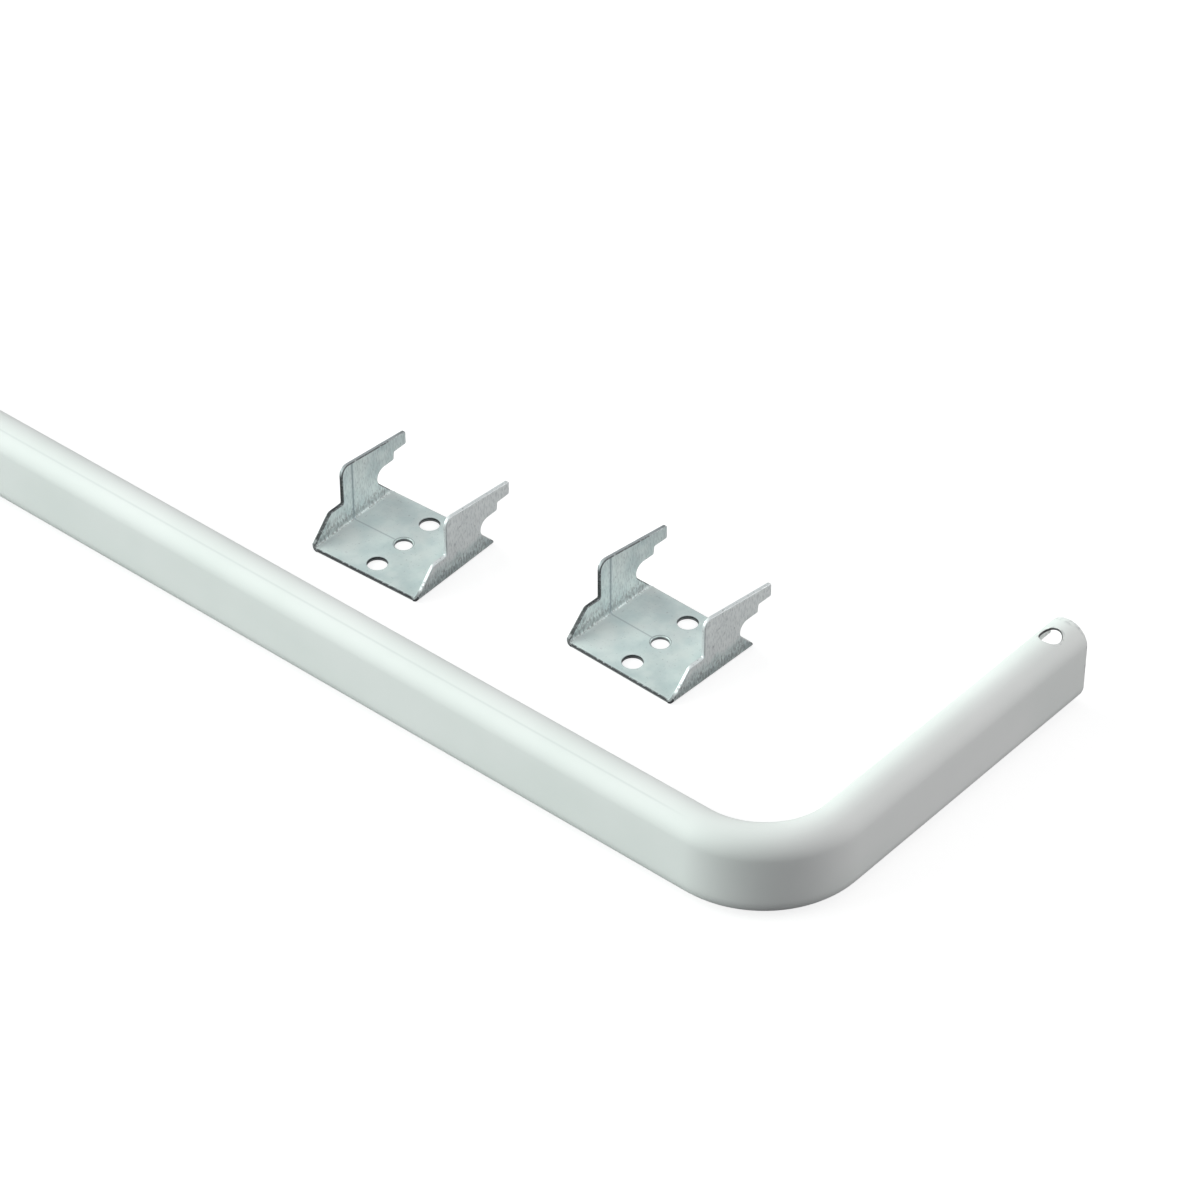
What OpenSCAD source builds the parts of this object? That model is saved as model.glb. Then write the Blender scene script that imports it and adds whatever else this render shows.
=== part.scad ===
// Extending curtain rod with two wall brackets.
// The rod is two rolled steel channels, one sliding inside the other. Each channel has a flat
// front, half-round top and bottom edges, an open back and one end bent back to the wall.
// The rod stands on its lower edge, as it hangs, and the two loose brackets lie on their base
// plates in front of the right-hand bend. +X runs along the rod, +Y points at the wall.

/* [Rod channel] */
// Height of the outer channel
rod_h = 19; // [17:0.5:26]
// Depth of the outer channel, front to back
rod_d = 9.2; // [8.6:0.2:12]
// Thickness of the rolled sheet
rod_wall = 0.5; // [0.4:0.05:0.6]
// Gap all round between the inner and the outer channel
slide_gap = 0.3; // [0.25:0.05:0.4]
// How far each back lip stands past the half-round edge
lip_h = 0.9; // [0.5:0.1:1.5]
// Width of the fine rolling mark along the top front edge
mark_w = 0.6; // [0.3:0.1:0.8]
// Depth of the rolling mark
mark_depth = 0.1; // [0.05:0.05:0.15]

/* [Rod lengths] */
// Overall length with the rod pushed right in
closed_len = 711; // [700:1:800]
// Length of the outer channel along the front
outer_len = 660; // [600:5:670]
// Length of the inner channel along the front
inner_len = 640; // [600:5:645]
// Distance from the front face to the wall end of the return
return_len = 95; // [80:1:150]
// Outside radius of the bend
bend_r = 23.5; // [20:0.5:30]

/* [Hook holes] */
// Diameter of the hole in the top edge that drops over the bracket's nib
hook_hole_d = 4.8; // [4:0.1:5]
// Distance of the hook hole from the wall end of the return
hook_hole_inset = 6.3; // [5:0.1:9]

/* [Bracket] */
// Width across the two arms, outside
bracket_w = 28.6; // [26:0.2:32]
// Length of the base plate along the arms' foot
base_d = 24.7; // [24:0.1:26]
// Sheet thickness
bracket_t = 0.9; // [0.7:0.1:1.2]
// Outside radius of the two folds
fold_r = 1.5; // [1.3:0.1:2.5]
// Diameter of the screw holes
screw_hole_d = 4.35; // [4:0.05:4.6]
// Diameter of the countersunk middle hole, below its cone
middle_hole_d = 3.8; // [3.4:0.1:3.9]
// Distance from each outer screw hole to the middle one
screw_pitch = 8.3; // [8:0.1:8.6]
// Depth of the shallow score line across the middle of the sheet
score_depth = 0.07; // [0.05:0.01:0.15]
// Radius of the base plate's two front corners, in plan
front_corner_r = 0.9; // [0.6:0.1:1.2]
// Radius of the base plate's two back corners, in plan
back_corner_r = 1.8; // [1.2:0.1:2]

/* [Arm outline] */
// Height of the shoulder that the rod's end stops against
shoulder_h = 6.6; // [6:0.1:7]
// Where the shoulder begins
shoulder_start = 5.3; // [5:0.1:6]
// Where the shoulder ends and the arm rises
arm_start = 9.3; // [9:0.1:10]
// Height of the arm at its rounded corner
arm_h = 15.7; // [15:0.1:17]
// Reach of the arm to the end of its nib
arm_reach = 29.4; // [29:0.1:31]
// Height of the top of the nib
nib_top = 13.5; // [13:0.1:14]
// Height of the underside of the nib
nib_under = 10.4; // [10:0.1:11]
// Where the nib's step is, against the rod's top edge
nib_step = 25.4; // [25:0.1:26]
// Height of the underside of the arm
arm_under = 8.5; // [8:0.1:9]
// Radius of the notch under the arm
notch_r = 2.1; // [1.5:0.1:2.4]

/* [Layout] */
// Bracket A: distance from the rod's right end
bracket_a_back = 135.1; // [100:0.1:300]
// Bracket A: distance from the rod's front face
bracket_a_out = 44.7; // [35:0.1:60]
// Bracket A: turn on the table, in degrees
bracket_a_turn = 2.4; // [-3:0.1:3]
// Bracket B: distance from the rod's right end
bracket_b_back = 74.6; // [50:0.1:90]
// Bracket B: distance from the rod's front face
bracket_b_out = 54.7; // [35:0.1:60]
// Bracket B: turn on the table, in degrees
bracket_b_turn = -1.6; // [-3:0.1:3]

/* [Hidden] */
$fn = 64;
white_enamel = [0.87, 0.9, 0.88];
zinc = [0.68, 0.73, 0.75];

// How far every face of the inner channel lies inside the outer channel's
inset = rod_wall + slide_gap;
front_y = -return_len / 2;
right_x = closed_len / 2;

// Rolling mark: a round-bottomed groove, cut by a cylinder on the front of the top edge
mark_angle = 62;
mark_cut_r = (mark_w * mark_w / 4 + mark_depth * mark_depth) / (2 * mark_depth);

// Score line: a round-bottomed groove on the inside of the bracket's sheet
score_w = 0.7;
score_cut_r = (score_w * score_w / 4 + score_depth * score_depth) / (2 * score_depth);

// Arm outline corners that follow from the rest: ramp foot, ramp run-out and corner roundings
ramp_foot_h = 1.1;
ramp_round = 1.6;
arm_round = 2;
nib_round = 0.4;
tail_h = 0.5;
notch_lean = 48;
cone_depth = (screw_hole_d - middle_hole_d) / 2;

// The corner trims reach from below the base plate to above the tails, clear of the arms
trim_h = 4;
// How far a trim's arc runs past the sheet, so that it meets the edges at a clear angle
trim_over = 0.03;
past = 1;

// The points of an arc of radius r that rounds the corner q between points p and n
function round_corner(p, q, n, r, steps = 8) =
    let (u = (p - q) / norm(p - q),
         v = (n - q) / norm(n - q),
         half = acos(u * v) / 2,
         centre = q + (u + v) / norm(u + v) * r / sin(half),
         from = q + u * r / tan(half) - centre,
         side = cross(u, v) > 0 ? -1 : 1,
         sweep = side * (180 - 2 * half))
    [for (i = [0 : steps])
        let (a = sweep * i / steps)
        centre + [from[0] * cos(a) - from[1] * sin(a), from[0] * sin(a) + from[1] * cos(a)]];

// An outline from corners [x, y, radius]; a corner of radius 0 stays sharp
function rounded_outline(corners) =
    let (count = len(corners),
         point = [for (c = corners) [c[0], c[1]]])
    [for (i = [0 : count - 1])
        each corners[i][2] > 0
            ? round_corner(point[(i + count - 1) % count], point[i], point[(i + 1) % count], corners[i][2])
            : [point[i]]];

// A bar section with half-round ends, standing on the origin's level
module half_round_bar(h, d) {
    r = d / 2;
    translate([0, r]) square([d, h - d]);
    translate([r, r]) circle(r);
    translate([r, h - r]) circle(r);
}

// The rolled channel: front face on x = 0, open back between the two lips
module channel_section(h, d) {
    lip = d / 2 + lip_h;
    difference() {
        half_round_bar(h, d);
        translate([rod_wall, rod_wall]) half_round_bar(h - 2 * rod_wall, d - 2 * rod_wall);
        translate([d / 2, lip]) square([d, h - 2 * lip]);
    }
}

// One channel with its corner at the origin: it runs to -X and its return goes to +Y
module bent_channel(h, d, run, ret, r) {
    straight = run - r;
    crown_r = d / 2;
    mark_reach = crown_r + mark_cut_r - mark_depth;
    difference() {
        union() {
            translate([-run, 0, 0]) rotate([90, 0, 90]) linear_extrude(straight) channel_section(h, d);
            translate([-r, r, 0]) rotate([0, 0, -90]) rotate_extrude(angle = 90)
                translate([r, 0]) mirror([1, 0]) channel_section(h, d);
            translate([0, r, 0]) rotate([90, 0, 180]) linear_extrude(ret - r) channel_section(h, d);
        }
        translate([-d / 2, ret - hook_hole_inset, h / 2]) cylinder(h = h, d = hook_hole_d);
        translate([-run - past, crown_r - mark_reach * cos(mark_angle),
                   h - crown_r + mark_reach * sin(mark_angle)])
            rotate([0, 90, 0]) cylinder(h = straight + past, r = mark_cut_r);
    }
}

module outer_rod() {
    color(white_enamel)
        translate([right_x, front_y, 0])
            bent_channel(rod_h, rod_d, outer_len, return_len, bend_r);
}

module inner_rod() {
    color(white_enamel)
        translate([-right_x, front_y + inset, inset]) mirror([1, 0, 0])
            bent_channel(rod_h - 2 * inset, rod_d - 2 * inset, inner_len, return_len - inset, bend_r - inset);
}

// A square-cornered trough with rounded lower corners, as a flat shape
module trough_shape(w, h, r) {
    translate([-w / 2, r]) square([w, h - r]);
    translate([-w / 2 + r, 0]) square([w - 2 * r, h]);
    for (side = [-1, 1]) translate([side * (w / 2 - r), r]) circle(r);
}

// The folded sheet before its arms are cut to shape: base plate and two tall walls
module folded_sheet() {
    tall = arm_h + past;
    translate([0, arm_reach + past, 0]) rotate([90, 0, 0]) linear_extrude(arm_reach + 2 * past)
        difference() {
            trough_shape(bracket_w, tall, fold_r);
            translate([0, bracket_t]) trough_shape(bracket_w - 2 * bracket_t, tall, fold_r - bracket_t);
        }
}

// The side outline of base and arm: x runs along the arm, y is the height off the wall
module arm_outline() {
    notch_x = base_d - (arm_under - tail_h) / tan(notch_lean);
    polygon(rounded_outline([
        [0, 0, 0],
        [0, ramp_foot_h, 0.5],
        [shoulder_start, shoulder_h, ramp_round],
        [arm_start, shoulder_h, 0.3],
        [arm_start, arm_h, arm_round],
        [arm_reach, nib_top, nib_round],
        [arm_reach, nib_under, nib_round],
        [nib_step + 0.2, nib_under, 0.2],
        [nib_step, arm_under, nib_round],
        [notch_x, arm_under, notch_r],
        [base_d, tail_h, 0.3],
        [base_d, 0, 0]]));
}

// What is trimmed off one corner of the base plate: a square with a round bite, x and y both up
module corner_trim(r) {
    translate([0, 0, -past]) linear_extrude(trim_h + past) difference() {
        translate([-r, -r]) square(r + past);
        translate([-r + trim_over, -r + trim_over]) circle(r);
    }
}

module bracket() {
    mid = base_d / 2;
    wall_x = -bracket_w / 2 + bracket_t;
    score_off = score_cut_r - score_depth;
    difference() {
        intersection() {
            folded_sheet();
            translate([-bracket_w, 0, 0]) rotate([90, 0, 90]) linear_extrude(2 * bracket_w) arm_outline();
        }
        for (side = [-1, 1]) translate([0, mid + side * screw_pitch, -past])
            cylinder(h = bracket_t + 2 * past, d = screw_hole_d);
        translate([0, mid, -past]) cylinder(h = bracket_t + 2 * past, d = middle_hole_d);
        translate([0, mid, bracket_t - cone_depth])
            cylinder(h = cone_depth, d1 = middle_hole_d, d2 = screw_hole_d);
        translate([wall_x, mid, bracket_t + score_off]) rotate([0, 90, 0])
            cylinder(h = -wall_x, r = score_cut_r);
        translate([wall_x + score_off, mid, bracket_t]) cylinder(h = arm_h, r = score_cut_r);
        for (side = [0, 1]) mirror([side, 0, 0]) {
            translate([bracket_w / 2, base_d, 0]) corner_trim(back_corner_r);
            translate([bracket_w / 2, 0, 0]) mirror([0, 1, 0]) corner_trim(front_corner_r);
        }
    }
}

// Puts a bracket's base plate centre at the given distances from the rod's right-hand corner
module place_bracket(back, out, turn) {
    translate([right_x - back, front_y + out, 0]) rotate([0, 0, turn])
        translate([0, -base_d / 2, 0]) children();
}

module bracket_a() {
    color(zinc) place_bracket(bracket_a_back, bracket_a_out, bracket_a_turn) bracket();
}

module bracket_b() {
    color(zinc) place_bracket(bracket_b_back, bracket_b_out, bracket_b_turn) bracket();
}

outer_rod();
inner_rod();
bracket_a();
bracket_b();
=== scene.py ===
import math

import bmesh
import bpy
from mathutils import Matrix, Vector


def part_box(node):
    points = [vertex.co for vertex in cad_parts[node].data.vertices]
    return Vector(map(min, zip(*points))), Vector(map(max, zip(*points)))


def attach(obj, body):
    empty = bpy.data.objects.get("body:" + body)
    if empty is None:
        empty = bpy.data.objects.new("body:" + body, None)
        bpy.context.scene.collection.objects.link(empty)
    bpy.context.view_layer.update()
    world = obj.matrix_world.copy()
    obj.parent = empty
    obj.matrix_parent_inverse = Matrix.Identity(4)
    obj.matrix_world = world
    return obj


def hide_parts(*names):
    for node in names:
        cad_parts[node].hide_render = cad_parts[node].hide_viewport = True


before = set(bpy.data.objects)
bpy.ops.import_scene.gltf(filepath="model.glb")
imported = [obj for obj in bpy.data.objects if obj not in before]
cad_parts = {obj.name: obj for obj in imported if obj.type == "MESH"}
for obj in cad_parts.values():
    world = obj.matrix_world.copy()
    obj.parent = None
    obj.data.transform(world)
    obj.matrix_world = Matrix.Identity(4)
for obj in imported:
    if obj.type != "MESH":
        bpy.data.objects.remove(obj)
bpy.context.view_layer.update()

MM = 0.001

# ---------------------------------------------------------------- sizes, in metres
outer_low, outer_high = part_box("outer_rod")
inner_low, inner_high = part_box("inner_rod")
front_y = outer_low.y
wall_y = outer_high.y
right_x = outer_high.x

rod_depth = 9.2 * MM
rod_wall = 0.5 * MM
lip_height = 0.9 * MM
bend_radius = 23.5 * MM
hook_hole_radius = 2.4 * MM
hook_hole_inset = 6.3 * MM
# Half the side of the square that the hook hole is cut in, on the outer and on the inner channel
hole_patch = 3.4 * MM
small_hole_patch = 3.2 * MM
mark_angle = math.radians(62)
mark_width = 0.6 * MM
mark_fade = 10 * MM
paint_round = 0.09 * MM

bracket_width = 28.6 * MM
base_depth = 24.7 * MM
sheet = 0.9 * MM
fold_radius = 1.5 * MM
front_corner = 0.9 * MM
back_corner = 1.8 * MM
screw_hole_radius = 2.175 * MM
screw_pitch = 8.3 * MM
cone_depth = 0.275 * MM
edge_round = 0.2 * MM
# Below plate_zone lie the plate and its folds; below corner_zone the fold corners' rims stay unrounded
plate_zone = 3 * MM
corner_zone = 2.2 * MM
# Where each loose bracket lies: back from the rod's right end, out from its front face, turn in degrees
bracket_places = {"a": (135.1 * MM, 44.7 * MM, 2.4), "b": (74.6 * MM, 54.7 * MM, -1.6)}
# Points this close are one point
weld = 0.001 * MM


# ---------------------------------------------------------------- camera, light and floor
def look_along(azimuth, elevation):
    """The turn of a camera or lamp that stands at this azimuth and elevation and looks back down."""
    return Matrix.Rotation(azimuth, 4, "Z") @ Matrix.Rotation(math.pi / 2 - elevation, 4, "X")


def add_camera():
    camera = bpy.data.objects.new("camera", bpy.data.cameras.new("camera"))
    bpy.context.scene.collection.objects.link(camera)
    camera.data.sensor_width = 36
    camera.data.lens = 131.3
    camera.data.clip_end = 20
    place = Vector((right_x + 0.356, front_y - 0.4655, 0.5571))
    camera.matrix_world = Matrix.Translation(place) @ look_along(math.radians(40.64), math.radians(38.93))
    bpy.context.scene.camera = camera


def add_softbox(name, azimuth, elevation, distance, size, power, tint, aim):
    lamp = bpy.data.objects.new(name, bpy.data.lights.new(name, "AREA"))
    bpy.context.scene.collection.objects.link(lamp)
    lamp.data.shape = "RECTANGLE"
    lamp.data.size, lamp.data.size_y = size
    lamp.data.energy = power
    lamp.data.color = tint
    turn = look_along(math.radians(azimuth), math.radians(elevation))
    lamp.matrix_world = Matrix.Translation(Vector(aim) + turn @ Vector((0, 0, distance))) @ turn


def plain_material(name, color, roughness, emission=0.0):
    material = bpy.data.materials.new(name)
    material.use_nodes = True
    shader = material.node_tree.nodes["Principled BSDF"]
    shader.inputs["Base Color"].default_value = (*color, 1)
    shader.inputs["Roughness"].default_value = roughness
    shader.inputs["Emission Color"].default_value = (1, 1, 1, 1)
    shader.inputs["Emission Strength"].default_value = emission
    return material


def add_floor(name, height, material):
    bm = bmesh.new()
    bmesh.ops.create_grid(bm, x_segments=8, y_segments=8, size=3, matrix=Matrix.Translation((0, 0, height)))
    mesh = bpy.data.meshes.new(name)
    bm.to_mesh(mesh)
    bm.free()
    mesh.materials.append(material)
    floor = bpy.data.objects.new(name, mesh)
    bpy.context.scene.collection.objects.link(floor)
    return floor


def add_studio():
    """A white table that is seen, a grey card just under it that gives the bounce, and soft lamps."""
    table = add_floor("table_top", 0, plain_material("white_paper", (0.3, 0.3, 0.3), 0.9, 0.8))
    table.visible_diffuse = False
    table.visible_glossy = False
    bounce = add_floor("bounce_card", -0.2 * MM, plain_material("grey_card", (0.42, 0.42, 0.43), 0.9))
    bounce.visible_camera = False
    world = bpy.data.worlds.new("studio")
    bpy.context.scene.world = world
    world.use_nodes = True
    world.node_tree.nodes["Background"].inputs["Color"].default_value = (0.97, 0.98, 1.0, 1)
    world.node_tree.nodes["Background"].inputs["Strength"].default_value = 0.30
    add_softbox("window_left", -56, 20, 6.0, (7.0, 5.2), 600, (0.90, 1.0, 0.95), (0.1, 0, 0))
    add_softbox("skylight", 0, 90, 2.0, (2.4, 2.0), 10, (1.0, 0.99, 0.985), (0.2, 0, 0))
    add_softbox("window_right", 132, 20, 1.6, (1.0, 0.8), 11, (1.0, 0.99, 0.98), (0.3, 0, 0))
    bpy.context.scene.view_settings.view_transform = "Standard"


# ---------------------------------------------------------------- materials
class Field:
    """A value inside a material. Arithmetic on it adds Math nodes."""

    def __init__(self, finish, socket):
        self.finish = finish
        self.socket = socket

    def math(self, operation, *others, clamp=False):
        values = {i: other for i, other in enumerate((self, *others))}
        return self.finish.node("ShaderNodeMath", {"operation": operation, "use_clamp": clamp}, values)

    def __add__(self, other):
        return self.math("ADD", other)

    def __sub__(self, other):
        return self.math("SUBTRACT", other)

    def __mul__(self, other):
        return self.math("MULTIPLY", other)

    def __rsub__(self, other):
        return self.finish.node("ShaderNodeMath", {"operation": "SUBTRACT"}, {0: other, 1: self})

    __radd__ = __add__
    __rmul__ = __mul__

    def ramp(self, low, high, to_low=0.0, to_high=1.0):
        """Runs smoothly from to_low at low to to_high at high, and stays level outside."""
        values = {"Value": self, "From Min": low, "From Max": high, "To Min": to_low, "To Max": to_high}
        return self.finish.node("ShaderNodeMapRange", {"interpolation_type": "SMOOTHSTEP"}, values)

    def near(self, middle, reach):
        """1 at middle, falling to 0 at reach to either side."""
        return (self - middle).math("ABSOLUTE").ramp(0, reach, 1, 0)


class Finish:
    """One procedural material: a Principled shader and the nodes that vary it."""

    def __init__(self, name, **constants):
        self.material = bpy.data.materials.new(name)
        self.material.use_nodes = True
        self.nodes = self.material.node_tree.nodes
        self.links = self.material.node_tree.links
        self.shader = self.nodes["Principled BSDF"]
        for socket, value in constants.items():
            self.shader.inputs[socket.replace("_", " ")].default_value = value

    def put(self, socket, value):
        if isinstance(value, Field):
            self.links.new(value.socket, socket)
        else:
            socket.default_value = value

    def node(self, kind, settings=None, values=None, output=0):
        """Adds a node: its settings first, then the values or links of its sockets."""
        made = self.nodes.new(kind)
        for key, value in (settings or {}).items():
            setattr(made, key, value)
        for key, value in (values or {}).items():
            self.put(made.inputs[key], value)
        return Field(self, made.outputs[output])

    def set(self, **values):
        for socket, value in values.items():
            self.put(self.shader.inputs[socket.replace("_", " ")], value)

    def attribute(self, name):
        return self.node("ShaderNodeAttribute", {"attribute_name": name}, output="Vector")

    def parts(self, vector):
        made = self.node("ShaderNodeSeparateXYZ", None, {0: vector})
        return [Field(self, s) for s in made.socket.node.outputs]

    def stretched(self, vector, scale):
        return self.node("ShaderNodeMapping", None, {"Vector": vector, "Scale": scale})

    def noise(self, vector, scale, detail=2.0, roughness=0.5):
        values = {"Vector": vector, "Scale": scale, "Detail": detail, "Roughness": roughness}
        return self.node("ShaderNodeTexNoise", None, values, output="Fac")

    def cells(self, vector, scale, output="Distance"):
        values = {"Vector": vector, "Scale": scale}
        return self.node("ShaderNodeTexVoronoi", {"feature": "F1"}, values, output=output)

    def mix(self, amount, first, second):
        values = {"Factor": amount, 6: first, 7: second}
        return self.node("ShaderNodeMix", {"data_type": "RGBA"}, values, output=2)

    def bump(self, height, distance, strength=1.0, normal=None):
        values = {"Height": height, "Distance": distance, "Strength": strength}
        if normal:
            values["Normal"] = normal
        return self.node("ShaderNodeBump", None, values, output="Normal")


def white_enamel():
    """Smooth baked enamel: faint orange peel, a few specks, painted shade along the rolling mark, and darker
    patches at the cut edges that are partly worn paint and partly painted shade.
    """
    paint = Finish("white_enamel", Specular_IOR_Level=0.15)
    flat = paint.attribute("blank")
    groove = paint.node("ShaderNodeAttribute", {"attribute_name": "groove"}, output="Fac")
    across, along, edge = paint.parts(flat)
    cloud = paint.noise(flat, 28, 3)
    peel = paint.noise(flat, 1400, 2)
    ripple = paint.noise(paint.stretched(flat, (1, 0.25, 1)), 160, 2)
    speck_cell = paint.cells(flat, 60)
    speck_pick = paint.cells(flat, 60, output="Color")
    pick = paint.parts(speck_pick)[0]
    speck = speck_cell.ramp(0.010, 0.022, 1, 0) * pick.ramp(0.80, 0.82)
    # Worn paint and painted shade: patchy darkening near every cut edge and round the hook hole, partly worn
    # paint and partly the shade at the rim.
    worn_edge_and_shade = edge.ramp(0.25 * MM, 0.7 * MM, 1, 0) * paint.noise(flat, 900, 3).ramp(0.45, 0.7)
    color = paint.mix(cloud.ramp(0.35, 0.65), (0.775, 0.80, 0.785, 1), (0.815, 0.83, 0.82, 1))
    # Painted shade: the rolling mark is darkened in colour as well as bumped.
    color = paint.mix(groove * 0.5, color, (0.62, 0.65, 0.65, 1))
    color = paint.mix(worn_edge_and_shade * 0.55, color, (0.42, 0.43, 0.44, 1))
    color = paint.mix(speck * 0.85, color, (0.16, 0.15, 0.14, 1))
    normal = paint.bump(ripple - groove * 2, 0.05 * MM, 0.35)
    normal = paint.bump(peel, 0.008 * MM, 0.5, normal)
    normal = paint.bump(speck, 0.05 * MM, 0.6, normal)
    roughness = cloud.ramp(0.3, 0.7, 0.48, 0.56) + worn_edge_and_shade * 0.1 + peel * 0.04
    paint.set(Base_Color=color, Roughness=roughness, Normal=normal)
    return paint.material


def cut_steel_and_shade():
    """Bare steel where the painted strip was cut: dull dark grey with fine shear lines, its darkness partly
    painted shade on the hook hole's wall.
    """
    cut = Finish("cut_steel_and_shade")
    flat = cut.attribute("blank")
    lines = cut.noise(cut.stretched(flat, (1, 1, 0.2)), 3000, 2)
    rust = cut.noise(flat, 700, 3).ramp(0.55, 0.7)
    # Painted shade: the very dark grey stands partly for the shade on the hook hole's wall.
    color = cut.mix(lines, (0.05, 0.05, 0.052, 1), (0.13, 0.13, 0.135, 1))
    color = cut.mix(rust * 0.3, color, (0.12, 0.07, 0.04, 1))
    cut.set(Base_Color=color, Roughness=lines.ramp(0.3, 0.7, 0.45, 0.65), Metallic=0.3,
            Normal=cut.bump(lines, 0.02 * MM, 0.6))
    return cut.material


def galvanised_sheet():
    """Dull zinc: soft spangle, pits and rub marks, drawn streaks just above the folds, painted shade in a
    band along the folds, and a dark scored line whose darkness is painted shade.
    """
    zinc = Finish("galvanised_sheet")
    place = zinc.attribute("place")
    x, y, z = zinc.parts(place)
    cloud = zinc.noise(place, 230, 3)
    patch = zinc.noise(place, 90, 2)
    spangle = zinc.parts(zinc.cells(place, 420, output="Color"))[0]
    grain = zinc.noise(zinc.stretched(place, (1, 1, 0.25)), 3300, 3)
    dashes = zinc.noise(zinc.stretched(place, (1, 0.6, 0.35)), 2600, 2).ramp(0.63, 0.76)
    crackle = zinc.noise(zinc.stretched(place, (1, 1, 0.45)), 2300, 4, 0.65)
    on_arm = x.math("ABSOLUTE").ramp(bracket_width / 2 - 1.4 * MM, bracket_width / 2 - 1.0 * MM)
    ragged = zinc.noise(zinc.stretched(place, (1, 1, 0.3)), 420, 3)
    drawn = (z + ragged * 4 * MM).ramp(4.6 * MM, 7.6 * MM, 1, 0) * on_arm
    worn = drawn * crackle.ramp(0.44, 0.6)
    # Painted shade: a dark band on the arms just above each fold, where shade gathers in the bend.
    fold_shade = z.near(2.0 * MM, 1.2 * MM) * on_arm
    # Painted shade: the scored line is darkened in colour as the shade of a shallow dent, and also bumped.
    score_and_shade = y.near(base_depth / 2, 0.3 * MM) + y.near(base_depth / 2, 0.6 * MM) * on_arm
    inside_face = x.ramp(0, 0.2 * MM, 1, 0) * x.ramp(-13.9 * MM, -13.6 * MM)
    score_and_shade = score_and_shade * inside_face * z.ramp(0.4 * MM, 0.6 * MM)
    clean = x.ramp(13.8 * MM, 14.1 * MM) * (z + ragged * 4 * MM).ramp(6.0 * MM, 8.0 * MM)
    color = zinc.mix(cloud.ramp(0.3, 0.7), (0.63, 0.74, 0.74, 1), (0.78, 0.87, 0.855, 1))
    color = zinc.mix(patch.ramp(0.45, 0.65) * 0.4, color, (0.80, 0.83, 0.81, 1))
    color = zinc.mix(spangle * 0.2, color, (0.84, 0.87, 0.87, 1))
    color = zinc.mix(clean * 0.7, color, (0.95, 0.96, 0.96, 1))
    color = zinc.mix(on_arm * grain.ramp(0.45, 0.65) * 0.34, color, (0.34, 0.38, 0.40, 1))
    color = zinc.mix(worn * 0.7, color, (0.25, 0.25, 0.255, 1))
    # Painted shade along the folds.
    color = zinc.mix(fold_shade * 0.45, color, (0.27, 0.32, 0.33, 1))
    # Painted shade in the scored line.
    color = zinc.mix(score_and_shade * 0.5, color, (0.28, 0.34, 0.37, 1))
    color = zinc.mix(on_arm * grain.ramp(0.45, 0.28) * 0.3, color, (0.88, 0.91, 0.91, 1))
    color = zinc.mix(dashes * (on_arm * 0.15 + 0.3), color, (0.20, 0.23, 0.25, 1))
    normal = zinc.bump(cloud - score_and_shade * 0.6, 0.06 * MM, 0.4)
    normal = zinc.bump(grain * (on_arm * 0.7 + 0.15), 0.03 * MM, 0.6, normal)
    normal = zinc.bump(1 - worn, 0.02 * MM, 0.6, normal)
    normal = zinc.bump(1 - dashes, 0.02 * MM, 0.5, normal)
    roughness = cloud.ramp(0.3, 0.7, 0.36, 0.50) + worn * 0.15
    zinc.set(Base_Color=color, Roughness=roughness, Metallic=0.2, Normal=normal)
    return zinc.material


def sheared_edge():
    """The cut faces of the sheet: a dark broken face, its darkness partly painted shade, and along the
    right-hand arm a light burnish that is partly a painted highlight.
    """
    cut = Finish("sheared_edge")
    place = cut.attribute("place")
    x, y, z = cut.parts(place)
    lines = cut.noise(cut.stretched(place, (0.15, 1, 1)), 3600, 2)
    rough = cut.noise(place, 1500, 3)
    # Painted highlight: the right-hand arm's cut face is made light in colour, partly as burnish and partly
    # as the light that falls on that side.
    burnish_and_highlight = x.ramp(8 * MM, 9 * MM) * (z + rough * 0.8 * MM).ramp(2.2 * MM, 3.2 * MM)
    upper = x.ramp(-9 * MM, -8 * MM, 1, 0) * z.ramp(13.0 * MM, 14.0 * MM)
    # Painted shade: the broken face is near black, partly its own dull steel and partly shade along the cut
    # edges.
    dark = cut.mix(lines.ramp(0.35, 0.65), (0.035, 0.04, 0.042, 1), (0.10, 0.105, 0.11, 1))
    color = cut.mix(upper * 0.7, dark, (0.50, 0.54, 0.56, 1))
    lower = z.ramp(0.40 * MM, 0.62 * MM, 1, 0)
    color = cut.mix(lower * 0.8, color, (0.36, 0.37, 0.38, 1))
    corner = x.math("ABSOLUTE").ramp(12.4 * MM, 13.0 * MM) * z.ramp(2.0 * MM, 2.4 * MM, 1, 0)
    color = cut.mix(corner * 0.75, color, (0.42, 0.44, 0.45, 1))
    color = cut.mix(burnish_and_highlight * (1 - rough.ramp(0.56, 0.72) * 0.5), color, (0.80, 0.83, 0.84, 1))
    normal = cut.bump(lines, 0.02 * MM, 0.6)
    roughness = rough.ramp(0.3, 0.7, 0.55, 0.68) - burnish_and_highlight * 0.2
    cut.set(Base_Color=color, Roughness=roughness, Metallic=0.35, Normal=normal)
    return cut.material


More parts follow.
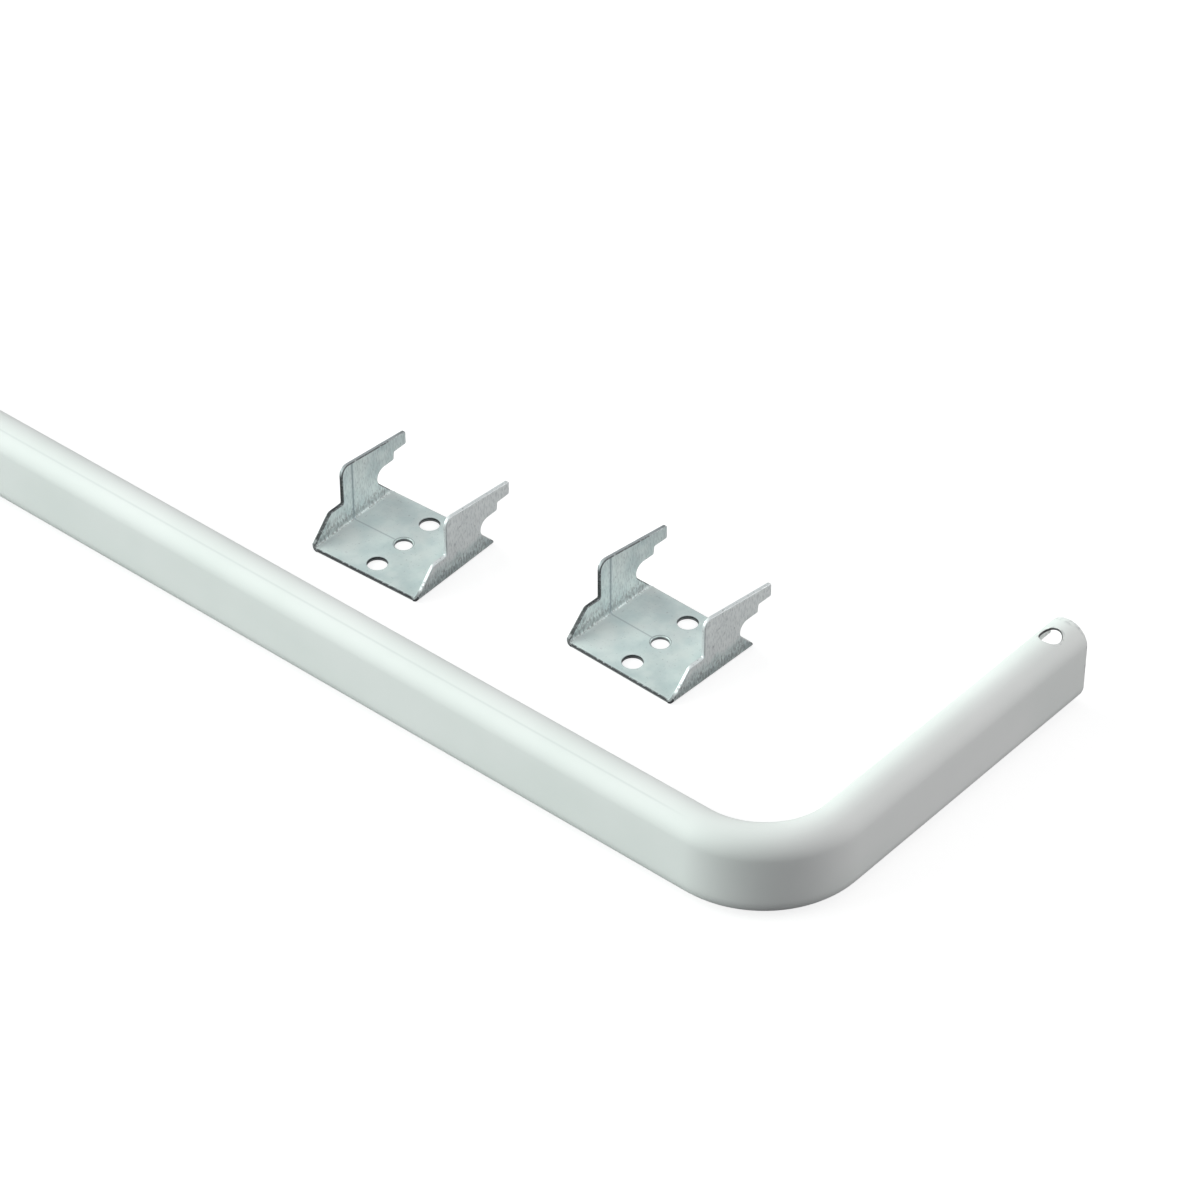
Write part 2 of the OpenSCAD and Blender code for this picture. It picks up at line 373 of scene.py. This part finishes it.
def burr_and_edge_shade():
    """The narrow burr along every cut edge: darkened zinc, partly a real burr and partly painted shade
    outlining the edges, broken by brighter rubbed spots.
    """
    burr = Finish("burr_and_edge_shade")
    place = burr.attribute("place")
    rub = burr.noise(place, 1300, 3).ramp(0.5, 0.66)
    x, y, z = burr.parts(place)
    rear = y.ramp(base_depth - 1.0 * MM, base_depth - 0.5 * MM) * 0.8
    # Painted shade: the dark zinc of the rounding outlines every cut edge, partly a real burr and partly
    # shade along the edges.
    color = burr.mix(rub, (0.15, 0.16, 0.165, 1), (0.45, 0.48, 0.49, 1))
    color = burr.mix(rear, color, (0.50, 0.54, 0.55, 1))
    # Painted highlight: the rounding along the right-hand arm is made light in colour, where light falls on
    # that side.
    burnish_and_highlight = x.ramp(8 * MM, 9 * MM) * z.ramp(1.6 * MM, 2.6 * MM)
    color = burr.mix(burnish_and_highlight * 0.85, color, (0.82, 0.85, 0.86, 1))
    color = burr.mix(z.ramp(0.2 * MM, 0.3 * MM, 1, 0) * 0.8, color, (0.40, 0.41, 0.42, 1))
    near_side = x.math("ABSOLUTE").ramp(6 * MM, 5 * MM) * y.ramp(1.0 * MM, 1.2 * MM)
    color = burr.mix(near_side * 0.6, color, (0.50, 0.56, 0.57, 1))
    burr.set(Base_Color=color, Roughness=rub.ramp(0, 1, 0.55, 0.38), Metallic=0.5,
             Normal=burr.bump(rub, 0.02 * MM, 0.5))
    return burr.material


# ---------------------------------------------------------------- the rod channels
def spaced(start, end, count):
    return [start + (end - start) * i / count for i in range(1, count + 1)]


class Channel:
    """One rolled channel. Its flat strip runs (across, along): across follows the section from the
    lower back lip round the front to the upper back lip, along runs from the wall end of the return
    to the far end of the run. point() rolls and bends a place on the strip into the finished rod."""

    def __init__(self, height, depth, run, reach, radius):
        self.height, self.depth, self.run, self.reach, self.radius = height, depth, run, reach, radius
        self.edge_r = depth / 2
        self.quarter = math.pi / 2 * self.edge_r
        self.front = height - depth
        self.length = reach - radius + math.pi / 2 * radius + run - radius
        self.width = 2 * lip_height + 4 * self.quarter + self.front
        self.crown = self.width - lip_height - self.quarter
        self.mark = self.crown - self.edge_r * (math.pi / 2 - mark_angle)
        self.bend_start = reach - radius
        self.bend_end = self.bend_start + math.pi / 2 * radius

    def section(self, across):
        """(in from the front face, up from the bottom) at a place across the strip."""
        r, s = self.edge_r, across - lip_height
        if s < 0:
            return self.depth, r - s
        if s < 2 * self.quarter:
            a = s / r
            return r + r * math.cos(a), r - r * math.sin(a)
        s -= 2 * self.quarter
        if s < self.front:
            return 0, r + s
        s -= self.front
        if s < 2 * self.quarter:
            a = s / r
            return r - r * math.cos(a), self.height - r + r * math.sin(a)
        return self.depth, self.height - r - (s - 2 * self.quarter)

    def point(self, across, along):
        inward, up = self.section(across)
        if along < self.bend_start:
            return Vector((-inward, self.reach - along, up))
        if along < self.bend_end:
            a = (along - self.bend_start) / self.radius
            r = self.radius - inward
            return Vector((-self.radius + r * math.cos(a), self.radius - r * math.sin(a), up))
        return Vector((-self.radius - (along - self.bend_end), inward, up))

    def across_lines(self, patch):
        """Where the strip is divided across: fine round the edges, and level with the hole's patch."""
        lines = [0, lip_height]
        lines += spaced(lip_height, lip_height + 2 * self.quarter, 24)
        lines += spaced(lines[-1], lines[-1] + self.front, 6)
        lines += spaced(lines[-1], self.crown - patch, 8)
        lines += spaced(lines[-1], self.mark - mark_width * 0.6, 2)
        lines += spaced(lines[-1], self.mark + mark_width * 0.6, 8)
        lines += spaced(lines[-1], self.crown + patch, 10)
        lines += spaced(lines[-1], self.width - lip_height, 6)
        return lines + [self.width]

    def along_lines(self, patch):
        lines = [0, hook_hole_inset - patch]
        lines += spaced(lines[-1], hook_hole_inset + patch, 12)
        lines += spaced(lines[-1], self.bend_start, 8)
        lines += spaced(lines[-1], self.bend_end, 36)
        lines += spaced(lines[-1], self.bend_end + 12 * MM, 6)
        return lines + spaced(lines[-1], self.length, 60)


def divided_strip(bm, across, along):
    """A flat strip with edges at the given places."""
    made = bmesh.ops.create_grid(bm, x_segments=len(across) - 1, y_segments=len(along) - 1, size=0.5)
    for v in made["verts"]:
        v.co.x = across[round((v.co.x + 0.5) * (len(across) - 1))]
        v.co.y = along[round((v.co.y + 0.5) * (len(along) - 1))]


def pierce(bm, centre, reach, radius, rings=5):
    """Cuts a square patch out of a flat strip and closes it in to a round hole."""
    inside = [f for f in bm.faces if max(abs(c) for c in (f.calc_center_median() - centre)) < reach]
    bmesh.ops.delete(bm, geom=inside, context="FACES")
    rim = [e for e in bm.edges if e.is_boundary
           and all(max(abs(c) for c in (v.co - centre)) < reach * 1.01 for v in e.verts)]
    for ring in range(1, rings + 1):
        made = bmesh.ops.extrude_edge_only(bm, edges=rim)["geom"]
        fresh = [g for g in made if isinstance(g, bmesh.types.BMVert)]
        for v in fresh:
            goal = centre + (v.co - centre).normalized() * radius
            v.co = v.co.lerp(goal, 1 / (rings + 1 - ring))
        rim = [g for g in made if isinstance(g, bmesh.types.BMEdge) and all(v in fresh for v in g.verts)]


def channel_piece(name, body, node, channel, corner, flip, materials):
    """Rolls one channel from its pierced flat strip and gives it its sheet thickness."""
    patch = hole_patch if channel.edge_r > 4 * MM else small_hole_patch
    bm = bmesh.new()
    divided_strip(bm, channel.across_lines(patch), channel.along_lines(patch))
    pierce(bm, Vector((channel.crown, hook_hole_inset, 0)), patch, hook_hole_radius)
    blank = bm.verts.layers.float_vector.new("blank")
    # The rolling mark: a bump in the enamel, with painted shade in its colour.
    mark = bm.verts.layers.float.new("groove")
    for v in bm.verts:
        across, along = v.co.x, v.co.y
        hole = (Vector((across - channel.crown, along - hook_hole_inset))).length - hook_hole_radius
        edge = min(along, channel.length - along, across, channel.width - across, hole)
        v[blank] = Vector((across, along, max(edge, 0)))
        fade = min(1, max(0, (along - channel.bend_end) / mark_fade))
        groove = max(0, 1 - abs(across - channel.mark) / (mark_width / 2))
        v[mark] = fade * groove
        v.co = channel.point(across, along)
        v.co.x *= flip
    bmesh.ops.translate(bm, verts=bm.verts, vec=corner)
    bmesh.ops.recalc_face_normals(bm, faces=bm.faces)
    probe = max(bm.faces, key=lambda f: f.calc_center_median().z)
    if probe.normal.z < 0:
        bmesh.ops.reverse_faces(bm, faces=bm.faces)
    piece = finished(name, bm, materials)
    wall = piece.modifiers.new("sheet", "SOLIDIFY")
    wall.thickness = rod_wall
    wall.material_offset_rim = 1
    wall.offset = -1
    wall.use_even_offset = True
    soften(piece, paint_round, "ANGLE")
    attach(piece, body)
    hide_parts(node)


def finished(name, bm, materials):
    mesh = bpy.data.meshes.new(name)
    for face in bm.faces:
        face.smooth = True
    bm.to_mesh(mesh)
    bm.free()
    for material in materials:
        mesh.materials.append(material)
    piece = bpy.data.objects.new(name, mesh)
    bpy.context.scene.collection.objects.link(piece)
    return piece


def soften(piece, width, limit, finish=-1):
    """Rounds the sharp edges a little, as paint and tumbling do, and gives the rounding its finish."""
    bevel = piece.modifiers.new("soft_edges", "BEVEL")
    bevel.width = width
    bevel.segments = 3
    bevel.limit_method = limit
    bevel.angle_limit = math.radians(40)
    bevel.harden_normals = True
    bevel.use_clamp_overlap = False
    bevel.material = finish


# ---------------------------------------------------------------- the brackets
def depth_in_sheet(place):
    """How deep a place on the bracket lies under the outer skin of the folded sheet."""
    side, up = bracket_width / 2 - abs(place.x), place.z
    if side < fold_radius and up < fold_radius:
        return fold_radius - math.hypot(fold_radius - side, fold_radius - up)
    return min(side, up)


def hole_distance(place, number):
    """Distance from the axis of screw hole -1, 0 or 1."""
    return math.hypot(place.x, place.y - base_depth / 2 - number * screw_pitch)


def outer_skin(bm):
    """Leaves only the outer skin of a bracket, in as few faces as it takes, split down the middle.
    The plate's corners are rounded straight down through the folds, so the skin there is eased out."""
    inside = [f for f in bm.faces if abs(f.normal.y) > 0.02
              or any(depth_in_sheet(v.co) > 0.02 * MM for v in f.verts)]
    bmesh.ops.delete(bm, geom=inside, context="FACES")
    for v in (v for v in bm.verts if v.co.z < plate_zone):
        for end, corner in ((0, front_corner), (base_depth, back_corner)):
            if abs(v.co.y - end) < corner and abs(v.co.x) > bracket_width / 2 - corner:
                v.co.y = (v.co.y + end) / 2
                v.co.z = min(v.co.z, fold_radius)
    bmesh.ops.remove_doubles(bm, verts=bm.verts, dist=0.05 * MM)
    split = bmesh.ops.bisect_plane(bm, geom=bm.verts[:] + bm.edges[:] + bm.faces[:], dist=0.01 * MM,
                                   plane_co=(0, 0, 0), plane_no=(1, 0, 0))
    for edge in split["geom_cut"]:
        if isinstance(edge, bmesh.types.BMEdge):
            edge.seam = True
    bmesh.ops.dissolve_limit(bm, angle_limit=math.radians(0.5), verts=bm.verts, edges=bm.edges,
                             delimit={"SEAM"})


def countersink(bm):
    """Opens the middle hole out to the screw hole's size with a small cone, and returns its faces."""
    hole = [f for f in bm.faces if all(hole_distance(v.co, 0) < screw_hole_radius * 0.98 for v in f.verts)]
    around = {g for f in hole for g in (f, *f.edges, *f.verts)}
    bmesh.ops.bisect_plane(bm, geom=list(around), dist=weld,
                           plane_co=(0, 0, sheet - cone_depth), plane_no=(0, 0, 1))
    rim = [v for v in bm.verts if depth_in_sheet(v.co) > 0.95 * sheet
           and hole_distance(v.co, 0) < screw_hole_radius * 0.98]
    for v in rim:
        from_axis = Vector((v.co.x, v.co.y - base_depth / 2, 0))
        v.co += from_axis.normalized() * (screw_hole_radius - from_axis.length)
    return {f for v in rim for f in v.link_faces if len(f.verts) == 4}


def bracket_piece(name, body, node, middle, turn, materials):
    """A bracket grown again from the outer skin of its CAD node: one folded sheet, softly edged.
    Its faces are zinc, or sheared edge where they run through the sheet; the rounding is burr with painted
    edge shade."""
    lay = (Matrix.Translation((0, base_depth / 2, 0)) @ Matrix.Rotation(-math.radians(turn), 4, "Z")
           @ Matrix.Translation(-middle))
    bm = bmesh.new()
    bm.from_mesh(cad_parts[node].data)
    bmesh.ops.remove_doubles(bm, verts=bm.verts, dist=weld)
    bm.transform(lay)
    bm.normal_update()
    outer_skin(bm)
    bmesh.ops.solidify(bm, geom=bm.faces[:], thickness=sheet)
    cone = countersink(bm)
    place = bm.verts.layers.float_vector.new("place")
    for v in bm.verts:
        v[place] = v.co
    for face in bm.faces:
        depths = [depth_in_sheet(v.co) for v in face.verts]
        face.material_index = 1 if max(depths) - min(depths) > 0.2 * sheet else 0
    weight = bm.edges.layers.float.new("bevel_weight_edge")
    for edge in bm.edges:
        if len({face.material_index for face in edge.link_faces}) == 2:
            near_hole = min(hole_distance(edge.verts[0].co, n) for n in (-1, 0, 1))
            edge[weight] = 0.4 if near_hole < screw_hole_radius * 1.02 else 1
            if all(v.co.z < corner_zone and abs(v.co.x) > bracket_width / 2 - 2 * fold_radius
                   for v in edge.verts):
                edge[weight] = 0
    for face in cone:
        face.material_index = 0
    bm.transform(lay.inverted())
    bmesh.ops.recalc_face_normals(bm, faces=bm.faces)
    piece = finished(name, bm, materials)
    soften(piece, edge_round, "WEIGHT", 2)
    level = piece.modifiers.new("level_faces", "WEIGHTED_NORMAL")
    level.weight = 100
    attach(piece, body)
    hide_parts(node)


# ---------------------------------------------------------------- the whole object
def add_rods():
    finishes = [white_enamel(), cut_steel_and_shade()]
    outer = Channel(outer_high.z - outer_low.z, rod_depth, outer_high.x - outer_low.x,
                    wall_y - front_y, bend_radius)
    channel_piece("outer_channel", "outer_section", "outer_rod", outer, (right_x, front_y, outer_low.z),
                  1, finishes)
    inset = inner_low.z - outer_low.z
    inner = Channel(inner_high.z - inner_low.z, rod_depth - 2 * inset, inner_high.x - inner_low.x,
                    wall_y - inner_low.y, bend_radius - inset)
    channel_piece("inner_channel", "inner_section", "inner_rod", inner,
                  (inner_low.x, inner_low.y, inner_low.z), -1, finishes)


def add_brackets():
    finishes = [galvanised_sheet(), sheared_edge(), burr_and_edge_shade()]
    for letter, (back, out, turn) in bracket_places.items():
        middle = Vector((right_x - back, front_y + out, 0))
        bracket_piece("wall_bracket_" + letter, "loose_bracket_" + letter, "bracket_" + letter,
                      middle, turn, finishes)


add_camera()
add_studio()
add_rods()
add_brackets()
